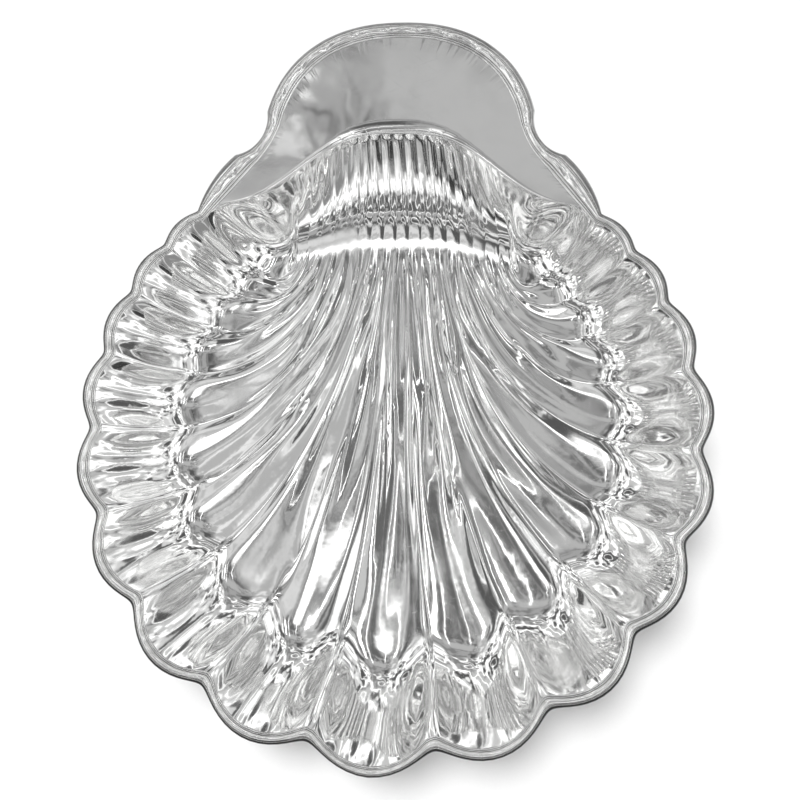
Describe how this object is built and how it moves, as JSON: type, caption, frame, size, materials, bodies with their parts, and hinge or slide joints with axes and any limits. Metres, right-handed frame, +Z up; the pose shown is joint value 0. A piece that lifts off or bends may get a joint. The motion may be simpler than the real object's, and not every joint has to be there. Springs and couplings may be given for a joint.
{
  "type": "shell-shaped serving dish",
  "caption": "Polished silver serving dish in the shape of a scallop shell, with a fluted bowl, a flat fan-shaped handle, an applied border and ball feet.",
  "frame": {"origin": "on the surface that the dish stands on, at the middle of its length and width", "axes": "+X to the dish's right seen from above with the handle away from the viewer, +Y towards the handle, +Z up"},
  "size_m": [0.258, 0.305, 0.0538],
  "materials": {
    "sheet": "mirror-polished silver plate with fine hairline scratches",
    "border": "polished silver plate, slightly darker in its grooves",
    "feet": "polished silver plate, dulled where the feet rub"
  },
  "bodies": {
    "root": {"dish_body": "sheet", "border_moulding": "border", "foot_front_left": "feet", "foot_front_right": "feet", "foot_back": "feet"}
  },
  "joints": []
}
